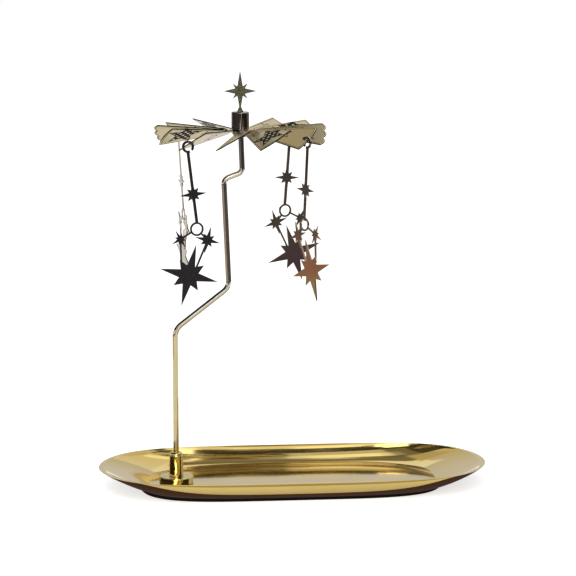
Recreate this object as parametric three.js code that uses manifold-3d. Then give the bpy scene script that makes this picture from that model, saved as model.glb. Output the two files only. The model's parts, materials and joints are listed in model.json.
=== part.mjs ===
// Candle carousel: a star wheel that turns on a bent rod above an oval brass tray.
// Warm air from a tealight on the tray rises through the wheel's twelve pitched blades. The wheel
// hangs by its cap on the rod's needle point, and four flat star pendants hang from its blades.
// Millimetres, +Z up. The origin is on the table under the middle of the tray, and +X runs along
// the tray, away from the rod.

import * as THREE from 'three';
import * as BufferGeometryUtils from 'three/addons/utils/BufferGeometryUtils.js';
import Module from 'manifold-3d';

const wasm = await Module();
wasm.setup();

// Fits
const seat_gap = 0.1;
const press_gap = 0.12;
const cut_overrun = 1;

// Tray, pressed from one sheet: rounded long sides and gently sloping ends
const tray_length = 155;
const tray_width = 67;
const tray_height = 7.5;
const tray_sheet = 0.8;
const end_slope_length = 20;
const side_slope_width = 9.5;
const rim_end_power = 5;
const rim_side_power = 1.9;
const floor_end_power = 5;
const floor_side_power = 3.6;
const side_wall_power = 2;
const end_wall_power = 1.02;

// Screw that draws the socket down on the tray
const screw_diameter = 2.5;
const screw_length = 6;
const screw_head_diameter = 5;
const screw_head_height = 1.3;
const screw_chamfer = 0.3;
const table_clearance = 0.3;

// Dimple in the tray's floor, pressed up so that the screw's head clears the table
const dimple_head_room = 0.6;
const dimple_slope = 1.2;
const dimple_skirt = 0.6;

// Base flange and the socket that holds the rod
const post_inset = 10.8;
const flange_diameter = 13.6;
const flange_recess_room = 0.5;
const flange_web_room = 0.2;
const flange_web = 0.9;
const flange_chamfer = 0.25;
const spigot_diameter = 4.2;
const socket_base_diameter = 5.7;
const socket_top_diameter = 5.1;
const socket_height = 9.6;
const socket_chamfer = 0.6;

// Rod, bent from one round wire in the plane of the tray's length
const rod_diameter = 2.2;
const lower_knee_height = 62.8;
const lower_knee_radius = 6;
const diagonal_reach = 21.3;
const diagonal_rise = 16.5;
const upper_knee_radius = 5;
const middle_run = 42.8;
const middle_lean = 1.8;
const jog_reach = 7.25;
const jog_rise = 2.7;
const jog_lower_radius = 2.8;
const jog_upper_radius = 2.4;
const top_run = 21.5;
const top_lean = 0.75;
const needle_length = 2.6;
const needle_root_share = 0.85;

// Cap, its pivot cup and the collar that clamps the wheel
const cap_diameter = 7;
const cap_height = 7.3;
const cap_chamfer = 0.35;
const cap_bore_room = 0.5;
const cap_spigot_wall = 0.5;
const cap_spigot_tail = 0.3;
const cap_crown_floor = 0.2;
const cup_floor = 0.8;
const cup_dimple_radius = 0.9;
const cup_dimple_depth = 0.9;
const pivot_gap = 0.12;
const collar_lip = 0.25;
const collar_flare = 0.85;
const collar_height = 1.7;
const collar_rim = 0.5;

// Star wheel, etched from one sheet, its blades twisted at their necks
const wheel_sheet = 0.4;
const wheel_ring_radius = 5.2;
const blade_count = 12;
const blade_pitch = 29.5;
const wheel_phase = -9.38;
const neck_width = 1.6;
const neck_length = 1.4;
const neck_lap = 0.5;
const blade_root_width = 2.9;
const blade_tip_width = 14.7;
const blade_tip_radius = 32.6;
const blade_tip_fall = 1;
const blade_droop = 1;
const scallop_depth = 1.1;
const scallops_per_tip = 3;
const kinds_of_blade = 3;

// Star pendants, etched flat: hook, stem, ring and four eight-pointed stars
const pendant_sheet = 0.5;
const pendant_drop = 49.1;
const hook_radius = 2.4;
const hook_band = 0.95;
const hook_gap_start = 40;
const hook_gap_end = 66;
const stem_width = 1.15;
const ring_radius = 2.7;
const ring_band = 0.75;
const link_width = 0.7;
const big_star_arm = 12;
const hook_inset = 0.6;
const pendant_turn = 155;
const bridge_width = 1.1;
const hook_hole_room = 0.25;
const hook_clearance = 0.2;

// Finial star on the cap
const finial_sheet = 0.6;
const finial_height = 8;
const finial_top_arm = 8.1;
const finial_side_arm = 6.45;
const finial_short_arm = 4.2;
const finial_valley = 2.15;
const finial_valley_angle = 30;
const finial_neck = 0.7;
const foot_width = 2.5;
const foot_height = 2;
const foot_tab_depth = 0.9;

// How finely round shapes are divided
const tray_sides = 96;
const tray_steps = 6;
const turned_sides = 32;
const rod_sides = 12;
const knee_steps = 6;
const ring_sides = 20;

// Proportions of an eight-pointed star, as shares of its long arm
const short_arm_share = 0.585;
const valley_share = 0.33;
const valley_angle = 24;

// The pendant's stars: places as shares of pendant_drop, arms as shares of big_star_arm, turns in
// degrees clockwise as seen from the front
const stem_star = { across_share: 0.048, drop_share: 0.369, arm_share: 0.46, turn: -7 };
const left_star = { across_share: -0.05, drop_share: 0.716, arm_share: 0.33, turn: -31 };
const right_star = { across_share: 0.17, drop_share: 0.727, arm_share: 0.445, turn: 14 };
const big_star = { across_share: 0.022, drop_share: 1, arm_share: 1, turn: 13.2 };
const ring_place = { across_share: 0.081, drop_share: 0.639 };
const link_foot_share = 0.25;

// How the four loose pendants rest, in degrees: the hook's turn in its hole, a lean off plumb along
// the plate and a rock across it, and how far the hook sits from its blade's middle. The four
// blades that carry them were bent by hand and droop by different shares of blade_droop.
const pendant_rests = [
  { turn: 8.1, lean: -2, rock: -0.6, offset: 1.8, droop_share: 1.35 },
  { turn: -4.4, lean: -0.8, rock: 0.2, offset: 3.1, droop_share: 1 },
  { turn: -11, lean: -1.1, rock: -2.6, offset: 4.6, droop_share: 1.4 },
  { turn: -9.6, lean: 1.2, rock: 1.9, offset: 3.35, droop_share: 1.8 },
];

const full_turn = 2 * Math.PI;
const radians = THREE.MathUtils.degToRad;
const mix = THREE.MathUtils.lerp;

// Places and levels that follow from the sizes above
const floor_length = tray_length - 2 * end_slope_length;
const floor_width = tray_width - 2 * side_slope_width;
const post_x = -floor_length / 2 + post_inset;
const axis_x = post_x + diagonal_reach - middle_lean + jog_reach - top_lean;
const screw_head_top = table_clearance + screw_head_height;
const screw_tip = screw_head_top + screw_length;
const dimple_rise = screw_head_top + seat_gap;
const dimple_top = tray_sheet + dimple_rise;
const dimple_top_radius = screw_head_diameter / 2 + dimple_head_room;
const dimple_foot_radius = dimple_top_radius + dimple_slope;
const flange_recess_radius = dimple_foot_radius + flange_recess_room;
const flange_web_foot = dimple_top + flange_web_room;
const flange_top = flange_web_foot + flange_web;
const socket_foot = dimple_top + seat_gap;
const socket_top = flange_top + socket_height;
const rod_foot = screw_tip + seat_gap;
const needle_tip = lower_knee_height + diagonal_rise + middle_run + jog_rise + top_run;
const cap_bore_radius = rod_diameter / 2 + cap_bore_room;
const cap_spigot_radius = cap_bore_radius + cap_spigot_wall;
const cup_dimple_top = needle_tip + pivot_gap;
const cup_foot = cup_dimple_top - cup_dimple_depth;
const cup_top = cup_dimple_top + cup_floor;
const cap_ceiling = cup_top + seat_gap;
const cap_top = cap_ceiling + cap_crown_floor + seat_gap + foot_tab_depth;
const cap_foot = cap_top - cap_height;
const wheel_top = cap_foot - seat_gap;
const wheel_foot = wheel_top - wheel_sheet;
const wheel_middle = wheel_top - wheel_sheet / 2;
const collar_top = wheel_foot - seat_gap;
const collar_foot = collar_top - collar_height;
const collar_foot_radius = cap_spigot_radius + press_gap + collar_lip;
const collar_top_radius = collar_foot_radius + collar_flare;
const cap_spigot_foot = collar_foot - cap_spigot_tail;
const blade_root_radius = wheel_ring_radius + neck_length;
const pendant_radius = blade_tip_radius - hook_inset;
const hook_hole_radius = (hook_radius + hook_hole_room - bridge_width / 2) / 2;

// A geometry's shared corners merged, its flat triangles dropped and its faces turned outwards.
function closed(geometry) {
  const bare = new THREE.BufferGeometry();
  bare.setAttribute('position', geometry.getAttribute('position').clone());
  if (geometry.index) {
    bare.setIndex(geometry.index.clone());
  }
  const merged = BufferGeometryUtils.mergeVertices(bare);
  const index = merged.index.array;
  const corners = merged.getAttribute('position');
  const kept = [];
  let volume = 0;
  for (let i = 0; i < index.length; i += 3) {
    const [a, b, c] = [index[i], index[i + 1], index[i + 2]];
    if (a !== b && b !== c && c !== a) {
      kept.push(a, b, c);
      const [pa, pb, pc] = [a, b, c].map((k) => new THREE.Vector3().fromBufferAttribute(corners, k));
      volume += pa.dot(pb.cross(pc));
    }
  }
  merged.setIndex(volume < 0 ? kept.reverse() : kept);
  return merged;
}

function toSolid(geometry) {
  const shape = closed(geometry);
  return new wasm.Manifold(new wasm.Mesh({
    numProp: 3,
    vertProperties: new Float32Array(shape.getAttribute('position').array),
    triVerts: new Uint32Array(shape.index.array),
  }));
}

function toGeometry(solid) {
  const mesh = solid.getMesh();
  const geometry = new THREE.BufferGeometry();
  geometry.setAttribute('position', new THREE.BufferAttribute(mesh.vertProperties, mesh.numProp));
  geometry.setIndex(new THREE.BufferAttribute(mesh.triVerts, 1));
  return geometry;
}

function joined(geometries) {
  return toGeometry(geometries.map(toSolid).reduce((whole, piece) => whole.add(piece)));
}

function cut(geometry, tool) {
  return toGeometry(toSolid(geometry).subtract(toSolid(tool)));
}

// A turned piece: a profile of [radius, height] pairs spun about Z. A profile off the axis closes
// on itself.
function turned(profile, sides = turned_sides) {
  const points = profile.map(([radius, height]) => new THREE.Vector2(radius, height));
  const onAxis = profile[0][0] === 0;
  if (!onAxis) {
    points.push(points[0].clone());
  }
  return closed(new THREE.LatheGeometry(points, sides).rotateX(full_turn / 4));
}

// A flat piece of sheet in the XZ plane, half its thickness on each side of it.
function flat(shape, sheet, segments = ring_sides) {
  const options = { depth: sheet, bevelEnabled: false, curveSegments: segments };
  const geometry = new THREE.ExtrudeGeometry(shape, options);
  return geometry.translate(0, 0, -sheet / 2).rotateX(full_turn / 4);
}

// An eight-pointed star: long arms a quarter turn apart, a short one half-way between each two,
// and a valley on each side of every long arm. Angles are degrees, turn is clockwise.
function starShape(x, z, arms, short_arm, valley, valley_turn, turn = 0) {
  const corners = [];
  const quarter = 360 / arms.length;
  arms.forEach((long_arm, k) => {
    corners.push([long_arm, 0], [valley, valley_turn], [short_arm, quarter / 2]);
    corners.push([valley, quarter - valley_turn]);
    for (const corner of corners.slice(-4)) {
      corner[1] += k * quarter - turn;
    }
  });
  return new THREE.Shape(corners.map(([radius, angle]) => new THREE.Vector2(
    x + radius * Math.cos(radians(angle)),
    z + radius * Math.sin(radians(angle)),
  )));
}

// A straight bar of even width between two points of the sheet.
function barShape(from, to, width) {
  const side = to.clone().sub(from).normalize().rotateAround(new THREE.Vector2(), full_turn / 4);
  side.multiplyScalar(width / 2);
  return new THREE.Shape([
    from.clone().add(side),
    from.clone().sub(side),
    to.clone().sub(side),
    to.clone().add(side),
  ]);
}

// One corner of a superellipse: end_power squares off the ends, side_power the long sides.
function ovalPoint(angle, length, width, end_power, side_power) {
  const along = Math.cos(angle);
  const across = Math.sin(angle);
  return new THREE.Vector2(
    (length / 2) * Math.sign(along) * Math.abs(along) ** (2 / end_power),
    (width / 2) * Math.sign(across) * Math.abs(across) ** (2 / side_power),
  );
}

// A point of the tray's wall, and the same point one sheet further in. climb runs from 0 at the
// floor's edge to 1 at the rim. The section is a quarter of a superellipse: round at the sides,
// nearly straight at the ends.
function trayPoint(angle, climb, inside) {
  const foot = ovalPoint(angle, floor_length, floor_width, floor_end_power, floor_side_power);
  const rim = ovalPoint(angle, tray_length, tray_width, rim_end_power, rim_side_power);
  const power = mix(side_wall_power, end_wall_power, Math.abs(Math.cos(angle)));
  const swing = (climb * full_turn) / 4;
  const out = Math.sin(swing) ** (2 / power);
  const up = 1 - Math.cos(swing) ** (2 / power);
  const point = foot.clone().lerp(rim, out);
  const slope_margin = 0.15;
  const steady = THREE.MathUtils.clamp(swing, slope_margin, full_turn / 4 - slope_margin);
  const reach = foot.distanceTo(rim);
  const run = reach * Math.sin(steady) ** (2 / power - 1) * Math.cos(steady);
  const rise = tray_height * Math.cos(steady) ** (2 / power - 1) * Math.sin(steady);
  const level = climb === 0;
  const slant = level ? 0 : rise / Math.hypot(run, rise);
  const lift = level ? 1 : run / Math.hypot(run, rise);
  const inward = foot.clone().sub(rim).normalize();
  const depth = inside ? tray_sheet : 0;
  point.addScaledVector(inward, depth * slant);
  return [point.x, point.y, Math.min(tray_height, tray_height * up + depth * lift)];
}

function trayShell() {
  const positions = [0, 0, 0, 0, 0, tray_sheet];
  const index = [];
  const rings = [];
  for (let step = 0; step <= tray_steps; step += 1) {
    rings.push([step / tray_steps, false]);
  }
  for (let step = tray_steps; step >= 0; step -= 1) {
    rings.push([step / tray_steps, true]);
  }
  for (const [climb, inside] of rings) {
    for (let side = 0; side < tray_sides; side += 1) {
      positions.push(...trayPoint((side * full_turn) / tray_sides, climb, inside));
    }
  }
  const corner = (ring, side) => 2 + ring * tray_sides + (side % tray_sides);
  const last = rings.length - 1;
  for (let side = 0; side < tray_sides; side += 1) {
    index.push(0, corner(0, side + 1), corner(0, side));
    index.push(1, corner(last, side), corner(last, side + 1));
    for (let ring = 0; ring < last; ring += 1) {
      index.push(corner(ring, side), corner(ring, side + 1), corner(ring + 1, side + 1));
      index.push(corner(ring, side), corner(ring + 1, side + 1), corner(ring + 1, side));
    }
  }
  const geometry = new THREE.BufferGeometry();
  geometry.setAttribute('position', new THREE.Float32BufferAttribute(positions, 3));
  geometry.setIndex(index);
  return geometry;
}

// The tray: the shell with a screw dimple pressed up through its floor.
function tray() {
  const hole_radius = screw_diameter / 2 + press_gap;
  const skirt_radius = dimple_foot_radius + dimple_skirt;
  const opening = turned([
    [0, -cut_overrun],
    [dimple_foot_radius, -cut_overrun],
    [dimple_foot_radius, tray_sheet + cut_overrun],
    [0, tray_sheet + cut_overrun],
  ]).translate(post_x, 0, 0);
  const dimple = turned([
    [hole_radius, dimple_rise],
    [dimple_top_radius, dimple_rise],
    [dimple_foot_radius, 0],
    [skirt_radius, 0],
    [skirt_radius, tray_sheet],
    [dimple_foot_radius, tray_sheet],
    [dimple_top_radius, dimple_top],
    [hole_radius, dimple_top],
  ]).translate(post_x, 0, 0);
  return joined([cut(trayShell(), opening), dimple]);
}

function trayScrew() {
  const shank = screw_diameter / 2;
  const head = screw_head_diameter / 2;
  return turned([
    [0, table_clearance],
    [head - screw_chamfer, table_clearance],
    [head, table_clearance + screw_chamfer],
    [head, screw_head_top],
    [shank, screw_head_top],
    [shank, screw_tip - screw_chamfer],
    [shank - screw_chamfer, screw_tip],
    [0, screw_tip],
  ]).translate(post_x, 0, 0);
}

function baseFlange() {
  const hole = spigot_diameter / 2 + press_gap;
  const edge = flange_diameter / 2;
  return turned([
    [hole, flange_top],
    [edge - flange_chamfer, flange_top],
    [edge, flange_top - flange_chamfer],
    [edge, tray_sheet + seat_gap],
    [flange_recess_radius, tray_sheet + seat_gap],
    [flange_recess_radius, flange_web_foot],
    [hole, flange_web_foot],
  ]).translate(post_x, 0, 0);
}

function rodSocket() {
  const rod_bore = rod_diameter / 2 + press_gap;
  const screw_bore = screw_diameter / 2 + press_gap;
  const shoulder = flange_top + seat_gap;
  return turned([
    [screw_bore, socket_foot],
    [spigot_diameter / 2, socket_foot],
    [spigot_diameter / 2, shoulder],
    [socket_base_diameter / 2, shoulder],
    [socket_top_diameter / 2, socket_top - socket_chamfer],
    [socket_top_diameter / 2 - socket_chamfer, socket_top],
    [rod_bore, socket_top],
    [rod_bore, screw_tip],
    [screw_bore, screw_tip],
  ]).translate(post_x, 0, 0);
}

// The rod's centre line: straight runs joined by round knees. Its parameter goes from station to
// station, so the straight runs take one step each and the knees take several.
class RodRoute extends THREE.Curve {
  constructor(corners, knee_radii) {
    super();
    this.stations = [{ point: corners[0], heading: corners[1].clone().sub(corners[0]).normalize() }];
    knee_radii.forEach((radius, knee) => {
      const corner = corners[knee + 1];
      const before = corner.clone().sub(corners[knee]).normalize();
      const after = corners[knee + 2].clone().sub(corner).normalize();
      const bend = before.angleTo(after);
      const start = corner.clone().addScaledVector(before, -radius * Math.tan(bend / 2));
      const side = after.clone().addScaledVector(before, -before.dot(after)).normalize();
      for (let step = 0; step <= knee_steps; step += 1) {
        const swing = (bend * step) / knee_steps;
        const point = start.clone().addScaledVector(before, radius * Math.sin(swing));
        point.addScaledVector(side, radius * (1 - Math.cos(swing)));
        const heading = before.clone().multiplyScalar(Math.cos(swing));
        heading.addScaledVector(side, Math.sin(swing));
        this.stations.push({ point, heading });
      }
    });
    const end = corners[corners.length - 1];
    this.stations.push({ point: end, heading: end.clone().sub(corners.at(-2)).normalize() });
  }

  station(share) {
    return this.stations[Math.round(share * (this.stations.length - 1))];
  }

  getPointAt(share) {
    return this.station(share).point.clone();
  }

  getTangentAt(share) {
    return this.station(share).heading.clone();
  }
}

function rodCorners() {
  const upper_knee = [post_x + diagonal_reach, lower_knee_height + diagonal_rise];
  const jog_low = [upper_knee[0] - middle_lean, upper_knee[1] + middle_run];
  const jog_high = [jog_low[0] + jog_reach, jog_low[1] + jog_rise];
  return [
    [post_x, rod_foot],
    [post_x, lower_knee_height],
    upper_knee,
    jog_low,
    jog_high,
    [axis_x, needle_tip],
  ].map(([x, z]) => new THREE.Vector3(x, 0, z));
}

// The rod: bent wire whose top end is ground to the needle point that carries the wheel.
function rod() {
  const corners = rodCorners();
  const tip = corners[corners.length - 1];
  const aim = tip.clone().sub(corners[corners.length - 2]).normalize();
  const needle_root = tip.clone().addScaledVector(aim, -needle_length);
  const knees = [lower_knee_radius, upper_knee_radius, jog_lower_radius, jog_upper_radius];
  const route = new RodRoute([...corners.slice(0, -1), needle_root], knees);
  const section = new THREE.Shape();
  section.absarc(0, 0, rod_diameter / 2, 0, full_turn);
  const wire = new THREE.ExtrudeGeometry(section, {
    extrudePath: route,
    steps: route.stations.length - 1,
    curveSegments: rod_sides,
  });
  const root_radius = (rod_diameter / 2) * needle_root_share;
  const needle = turned([
    [0, -rod_diameter],
    [root_radius, -rod_diameter],
    [root_radius, 0],
    [0, needle_length],
  ], rod_sides);
  needle.applyQuaternion(new THREE.Quaternion().setFromUnitVectors(new THREE.Vector3(0, 0, 1), aim));
  needle.translate(needle_root.x, needle_root.y, needle_root.z);
  return joined([wire, needle]);
}

// The finial's slot in the cap is cut from the same sizes as the finial's tab.
function hubCap() {
  const edge = cap_diameter / 2;
  const body = turned([
    [0, cap_top],
    [edge - cap_chamfer, cap_top],
    [edge, cap_top - cap_chamfer],
    [edge, cap_foot + cap_chamfer],
    [edge - cap_chamfer, cap_foot],
    [cap_spigot_radius, cap_foot],
    [cap_spigot_radius, cap_spigot_foot],
    [cap_bore_radius, cap_spigot_foot],
    [cap_bore_radius, cap_ceiling],
    [0, cap_ceiling],
  ]);
  const slot_depth = foot_tab_depth + seat_gap;
  const slot = new THREE.BoxGeometry(
    foot_width + 2 * press_gap,
    finial_sheet + 2 * press_gap,
    slot_depth + cut_overrun,
  ).translate(0, 0, cap_top + (cut_overrun - slot_depth) / 2);
  return cut(body, slot).translate(axis_x, 0, 0);
}

function pivotCup() {
  const edge = cap_bore_radius - press_gap;
  return turned([
    [0, cup_dimple_top],
    [cup_dimple_radius, cup_foot],
    [edge, cup_foot],
    [edge, cup_top],
    [0, cup_top],
  ]).translate(axis_x, 0, 0);
}

function wheelCollar() {
  const hole = cap_spigot_radius + press_gap;
  return turned([
    [hole, collar_top],
    [collar_top_radius, collar_top],
    [collar_top_radius, collar_top - collar_rim],
    [collar_foot_radius, collar_foot],
    [hole, collar_foot],
  ]).translate(axis_x, 0, 0);
}

// How far out a blade reaches at v, which runs from -1 at its low corner to 1 at its high one.
function tipReach(v, scalloped) {
  const lobes = Math.abs(Math.sin((scallops_per_tip * full_turn * (v + 1)) / 4));
  return blade_tip_radius - blade_tip_fall * v ** 2 + (scalloped ? scallop_depth * lobes : 0);
}

// How far a blade has drooped at a radius, by the weight that it carries at its end.
function droopAt(radius, tip_droop) {
  const share = (radius - blade_root_radius) / (blade_tip_radius - blade_root_radius);
  return tip_droop * Math.max(0, share);
}

// How far the blade that carries pendant number k has drooped at its tip.
function pendantDroop(k) {
  return blade_droop * pendant_rests[k].droop_share;
}

// A blade: flat at its neck in the ring, twisted to its pitch by its root, then a plain fan shape.
function blade(scalloped, tip_droop) {
  const columns = scalloped ? scallops_per_tip * 4 : 6;
  const neck_middle = (wheel_ring_radius + blade_root_radius) / 2;
  const rows = [
    { radius: wheel_ring_radius - neck_lap, twist: 0, width: neck_width },
    { radius: wheel_ring_radius, twist: 0, width: neck_width },
    { radius: neck_middle, twist: 0.5, width: neck_width },
    { radius: blade_root_radius, twist: 1, width: blade_root_width },
    { twist: 1, width: blade_tip_width },
  ];
  const point = (row, v, face) => {
    const radius = row.radius ?? tipReach(v, scalloped);
    const pitch = radians(blade_pitch) * row.twist;
    const across = (row.width / 2) * v;
    const lift = face * wheel_sheet / 2;
    return [
      radius,
      across * Math.cos(pitch) - lift * Math.sin(pitch),
      across * Math.sin(pitch) + lift * Math.cos(pitch) - droopAt(radius, tip_droop),
    ];
  };
  const positions = [];
  const index = [];
  for (const face of [1, -1]) {
    for (const row of rows) {
      for (let column = 0; column <= columns; column += 1) {
        positions.push(...point(row, (2 * column) / columns - 1, face));
      }
    }
  }
  const corner = (face, row, column) => (face * rows.length + row) * (columns + 1) + column;
  const last_row = rows.length - 1;
  const quad = (a, b, c, d) => index.push(a, b, c, a, c, d);
  for (let row = 0; row < last_row; row += 1) {
    for (let column = 0; column < columns; column += 1) {
      quad(corner(0, row, column), corner(0, row + 1, column),
        corner(0, row + 1, column + 1), corner(0, row, column + 1));
      quad(corner(1, row, column), corner(1, row, column + 1),
        corner(1, row + 1, column + 1), corner(1, row + 1, column));
    }
    quad(corner(0, row, 0), corner(1, row, 0), corner(1, row + 1, 0), corner(0, row + 1, 0));
    quad(corner(0, row, columns), corner(0, row + 1, columns),
      corner(1, row + 1, columns), corner(1, row, columns));
  }
  for (let column = 0; column < columns; column += 1) {
    quad(corner(0, 0, column), corner(0, 0, column + 1),
      corner(1, 0, column + 1), corner(1, 0, column));
    quad(corner(0, last_row, column), corner(1, last_row, column),
      corner(1, last_row, column + 1), corner(0, last_row, column + 1));
  }
  const geometry = new THREE.BufferGeometry();
  geometry.setAttribute('position', new THREE.Float32BufferAttribute(positions, 3));
  geometry.setIndex(index);
  return geometry;
}

// Where pendant number k's hook sits on the wheel: its blade's azimuth less the hook's offset.
function hookAzimuth(k) {
  const blade_step = 360 / blade_count;
  const { offset } = pendant_rests[k];
  return wheel_phase - blade_step - offset + blade_step * kinds_of_blade * k;
}

// Which way pendant number k's own +X points.
function pendantHeading(k) {
  return radians(hookAzimuth(k) + pendant_turn + pendant_rests[k].turn);
}

// The hole beside a blade's end that a pendant's hook goes through. The bridge of sheet left
// between the hole and the blade's end carries the hook.
function hookHole(k) {
  const azimuth = radians(hookAzimuth(k));
  const inward = pendantHeading(k);
  const reach = bridge_width / 2 + hook_hole_radius;
  const height = blade_tip_width;
  const tool = new THREE.CylinderGeometry(hook_hole_radius, hook_hole_radius, height, ring_sides);
  return tool.rotateX(full_turn / 4).translate(
    pendant_radius * Math.cos(azimuth) + reach * Math.cos(inward),
    pendant_radius * Math.sin(azimuth) + reach * Math.sin(inward),
    0,
  );
}

// The wheel: a ring round the cap's spigot with twelve pitched blades. Every third blade has a
// scalloped end, and every third one carries a pendant.
function starWheel() {
  const hole = cap_spigot_radius + press_gap;
  const ring = turned([
    [hole, wheel_sheet / 2],
    [wheel_ring_radius, wheel_sheet / 2],
    [wheel_ring_radius, -wheel_sheet / 2],
    [hole, -wheel_sheet / 2],
  ], 2 * ring_sides);
  const blades = [];
  for (let k = 0; k < blade_count; k += 1) {
    const scalloped = k % kinds_of_blade === 0;
    const azimuth = wheel_phase + (k * 360) / blade_count;
    const hung = (k + 1) % kinds_of_blade === 0;
    const pendant = ((k + 1) / kinds_of_blade) % pendant_rests.length;
    const tip_droop = hung ? pendantDroop(pendant) : blade_droop;
    blades.push(blade(scalloped, tip_droop).rotateZ(radians(azimuth)));
  }
  let wheel = joined([ring, ...blades]);
  for (let k = 0; k < blade_count / kinds_of_blade; k += 1) {
    wheel = cut(wheel, hookHole(k));
  }
  return wheel.translate(axis_x, 0, wheel_middle);
}

// A star of the pendant, placed below the hook's centre.
function pendantStar(star) {
  const arm = big_star_arm * star.arm_share;
  const x = pendant_drop * star.across_share;
  const z = -pendant_drop * star.drop_share;
  const arms = [arm, arm, arm, arm];
  const short_arm = arm * short_arm_share;
  const valley = arm * valley_share;
  return flat(starShape(x, z, arms, short_arm, valley, valley_angle, star.turn), pendant_sheet);
}

function pendantRing(x, z, radius, band) {
  const shape = new THREE.Shape();
  shape.absarc(x, z, radius, 0, full_turn);
  const opening = new THREE.Path();
  opening.absarc(x, z, radius - band, 0, full_turn, true);
  shape.holes.push(opening);
  return flat(shape, pendant_sheet);
}

// The open hook: a ring with a gap at its lower inner side, angles clockwise from +X.
function pendantHook() {
  const shape = new THREE.Shape();
  const start = -radians(hook_gap_start);
  const end = full_turn - radians(hook_gap_end);
  shape.absarc(0, 0, hook_radius, start, end);
  shape.absarc(0, 0, hook_radius - hook_band, end, start, true);
  shape.closePath();
  return flat(shape, pendant_sheet);
}

// A pendant about its hook's centre, turned in its own plane until it hangs plumb, then leant and
// rocked.
function starPendant({ lean, rock }) {
  const place = (spot) => new THREE.Vector2(
    pendant_drop * spot.across_share,
    -pendant_drop * spot.drop_share,
  );
  const hook_foot = new THREE.Vector2(0, -(hook_radius - hook_band / 2));
  const stem_mid = place(stem_star);
  const ring_mid = place(ring_place);
  const ring_top = ring_mid.clone().add(new THREE.Vector2(0, ring_radius - ring_band / 2));
  const towards = (from, to, distance) => from.clone().lerp(to, distance / from.distanceTo(to));
  const ring_grip = ring_radius - ring_band / 2;
  const big_mid = place(big_star);
  const shoulder = big_star_arm * link_foot_share;
  const bars = [
    [hook_foot, stem_mid, stem_width],
    [stem_mid, ring_top, stem_width],
    [place(left_star), towards(ring_mid, place(left_star), ring_grip), link_width],
    [place(right_star), towards(ring_mid, place(right_star), ring_grip), link_width],
    [place(left_star), big_mid.clone().add(new THREE.Vector2(-shoulder, shoulder)), link_width],
    [place(right_star), big_mid.clone().add(new THREE.Vector2(shoulder, shoulder)), link_width],
  ];
  const pendant = joined([
    pendantHook(),
    ...bars.map(([from, to, width]) => flat(barShape(from, to, width), pendant_sheet)),
    pendantRing(ring_mid.x, ring_mid.y, ring_radius, ring_band),
    ...[stem_star, left_star, right_star, big_star].map(pendantStar),
  ]);
  const balance = balancePoint(pendant);
  const plumb = Math.atan2(balance.x, -balance.z);
  return pendant.rotateY(plumb - radians(lean)).rotateX(-radians(rock));
}

// The centre of a closed mesh's volume.
function balancePoint(geometry) {
  const corners = geometry.getAttribute('position');
  const index = geometry.index.array;
  const sum = new THREE.Vector3();
  let volume = 0;
  for (let i = 0; i < index.length; i += 3) {
    const [a, b, c] = [0, 1, 2].map((k) => (
      new THREE.Vector3().fromBufferAttribute(corners, index[i + k])
    ));
    const share = a.dot(b.clone().cross(c));
    volume += share;
    sum.addScaledVector(a.add(b).add(c), share / 4);
  }
  return sum.divideScalar(volume);
}

// The height of pendant number k's hook: the inside of the hook rests on the bridge's higher edge,
// and the bridge lies on the slope of the blade.
function hookHeight(k) {
  const across = pendant_radius * Math.sin(radians(pendant_rests[k].offset));
  const slope = Math.tan(radians(blade_pitch));
  const droop = droopAt(pendant_radius, pendantDroop(k));
  const bridge_top = wheel_top - across * slope - droop;
  const half_bridge = bridge_width / 2;
  const edge_rise = half_bridge * slope * Math.sin(radians(pendant_turn));
  const seat = Math.sqrt((hook_radius - hook_band) ** 2 - half_bridge ** 2);
  return bridge_top + edge_rise + hook_clearance - seat;
}

// The finial: a star whose lower arm ends in a foot, with a tab in the cap's slot.
function finialStar() {
  const arms = [finial_side_arm, finial_top_arm, finial_side_arm, finial_height];
  const star = starShape(0, finial_height, arms, finial_short_arm, finial_valley,
    finial_valley_angle);
  const foot = new THREE.Shape([
    new THREE.Vector2(-foot_width / 2, 0),
    new THREE.Vector2(foot_width / 2, 0),
    new THREE.Vector2(finial_neck / 2, foot_height),
    new THREE.Vector2(finial_neck / 2, finial_height),
    new THREE.Vector2(-finial_neck / 2, finial_height),
    new THREE.Vector2(-finial_neck / 2, foot_height),
  ]);
  const tab = new THREE.Shape([
    new THREE.Vector2(-foot_width / 2, -foot_tab_depth),
    new THREE.Vector2(foot_width / 2, -foot_tab_depth),
    new THREE.Vector2(foot_width / 2, 0),
    new THREE.Vector2(-foot_width / 2, 0),
  ]);
  const pieces = [star, foot, tab].map((shape) => flat(shape, finial_sheet));
  return joined(pieces).translate(axis_x, 0, cap_top);
}

const polished_brass = { color: 0xd8b45a, roughness: 0.18, metalness: 1 };
const pale_brass = { color: 0xcbb98a, roughness: 0.25, metalness: 1 };
const nickel_silver = { color: 0xb9b2a6, roughness: 0.22, metalness: 1 };
const steel = { color: 0x8c8c90, roughness: 0.35, metalness: 1 };

const carousel = new THREE.Group();

function add(name, geometry, finish) {
  const shape = closed(geometry);
  shape.computeVertexNormals();
  const mesh = new THREE.Mesh(shape, new THREE.MeshStandardMaterial(finish));
  mesh.name = name;
  carousel.add(mesh);
  return mesh;
}

add('tray', tray(), polished_brass);
add('tray_screw', trayScrew(), steel);
add('base_flange', baseFlange(), pale_brass);
add('rod_socket', rodSocket(), pale_brass);
add('rod', rod(), pale_brass);
add('hub_cap', hubCap(), nickel_silver);
add('pivot_cup', pivotCup(), steel);
add('wheel_collar', wheelCollar(), nickel_silver);
add('star_wheel', starWheel(), pale_brass);
add('finial_star', finialStar(), nickel_silver);

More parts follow.
